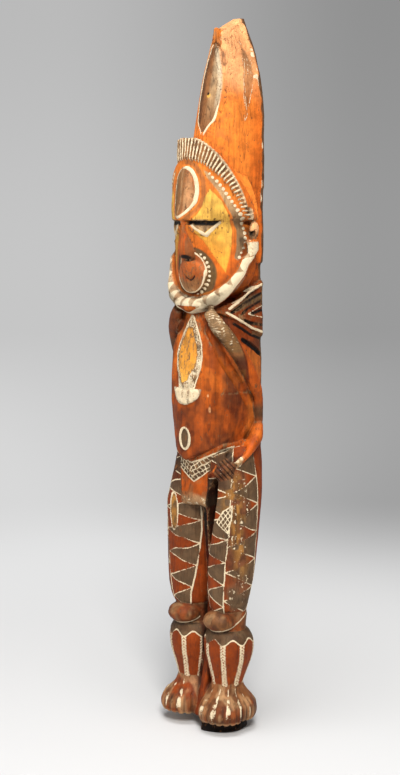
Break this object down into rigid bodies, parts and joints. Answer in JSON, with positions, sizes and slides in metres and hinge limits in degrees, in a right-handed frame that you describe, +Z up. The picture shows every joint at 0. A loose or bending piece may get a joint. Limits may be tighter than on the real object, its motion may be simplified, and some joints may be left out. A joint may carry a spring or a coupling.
{
  "type": "carved ancestor figure",
  "caption": "Tall painted wooden ancestor figure standing on a stump, with a crested mask face, a pointed blade above it, arms in relief and patterned legs.",
  "frame": {"origin": "on the floor under the middle of the figure's bounding box", "axes": "+Z up; the figure faces -Y; its left side is +X"},
  "size_m": [0.194, 0.1654, 1.32],
  "materials": {
    "orange_pigment": "matt earth pigment rubbed into the wood, orange",
    "red_pigment": "matt earth pigment, red-brown",
    "yellow_pigment": "matt yellow ochre",
    "white_pigment": "chalky cream-white clay pigment",
    "grey_pigment": "dark grey-brown pigment",
    "brown_pigment": "thin brown pigment over wood",
    "raw_wood": "dark, dry, unpainted wood"
  },
  "bodies": {
    "root": {"base_stump": "raw_wood", "belly": "red_pigment", "belt_panel": "grey_pigment", "chest": "red_pigment", "chest_pendant": "yellow_pigment", "crest_ruff": "white_pigment", "crown_blade": "orange_pigment", "crown_stub": "raw_wood", "face_mask": "yellow_pigment", "forehead": "orange_pigment", "forehead_medallion": "brown_pigment", "hip_block": "orange_pigment", "jaw_rim": "white_pigment", "left_calf": "red_pigment", "left_ear": "orange_pigment", "left_eye": "white_pigment", "left_foot": "brown_pigment", "left_forearm": "brown_pigment", "left_knee": "brown_pigment", "left_shoulder_wing": "white_pigment", "left_thigh": "red_pigment", "left_upper_arm": "brown_pigment", "leg_keel": "red_pigment", "mouth_oval": "brown_pigment", "nape_slab": "orange_pigment", "navel_boss": "white_pigment", "nose": "orange_pigment", "pendant_tab": "white_pigment", "right_calf": "red_pigment", "right_ear": "orange_pigment", "right_eye": "white_pigment", "right_foot": "brown_pigment", "right_forearm": "brown_pigment", "right_knee": "brown_pigment", "right_shoulder_wing": "white_pigment", "right_thigh": "red_pigment", "right_upper_arm": "brown_pigment"}
  },
  "joints": []
}
